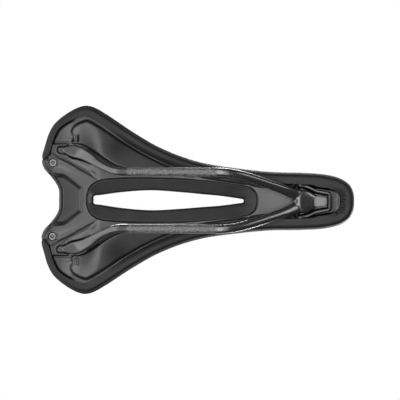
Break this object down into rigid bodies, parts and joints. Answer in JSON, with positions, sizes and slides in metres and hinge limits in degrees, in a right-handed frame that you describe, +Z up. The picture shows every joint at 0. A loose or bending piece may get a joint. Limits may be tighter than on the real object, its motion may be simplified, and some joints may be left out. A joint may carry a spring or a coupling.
{
  "type": "bicycle saddle",
  "caption": "Short road bicycle saddle with a relief channel, a moulded shell, a padded cover turned under its edge and a one-piece carbon rail.",
  "frame": {"origin": "centre of the seatpost clamp: midway between the two rails, at the height of their axes, in the middle of their straight stretch", "axes": "+X towards the nose, +Y to the rider's left, +Z up"},
  "size_m": [0.2433, 0.1452, 0.0517],
  "materials": {
    "shell": "semi-gloss moulded",
    "carbon": "lacquered carbon fibre",
    "foam": "moulded polyurethane foam",
    "microfibre": "matt microfibre",
    "liner": "matt",
    "insert": "nickel-plated",
    "adhesive": "cured structural adhesive",
    "wedge": "satin"
  },
  "bodies": {
    "root": {"shell": "shell", "carbon_rail": "carbon", "foam_pad": "foam", "cover": "microfibre", "channel_liner": "liner", "insert_left": "insert", "insert_right": "insert", "blade_bond_left": "adhesive", "blade_bond_right": "adhesive", "nose_bond": "adhesive", "nose_wedge": "wedge"}
  },
  "joints": []
}
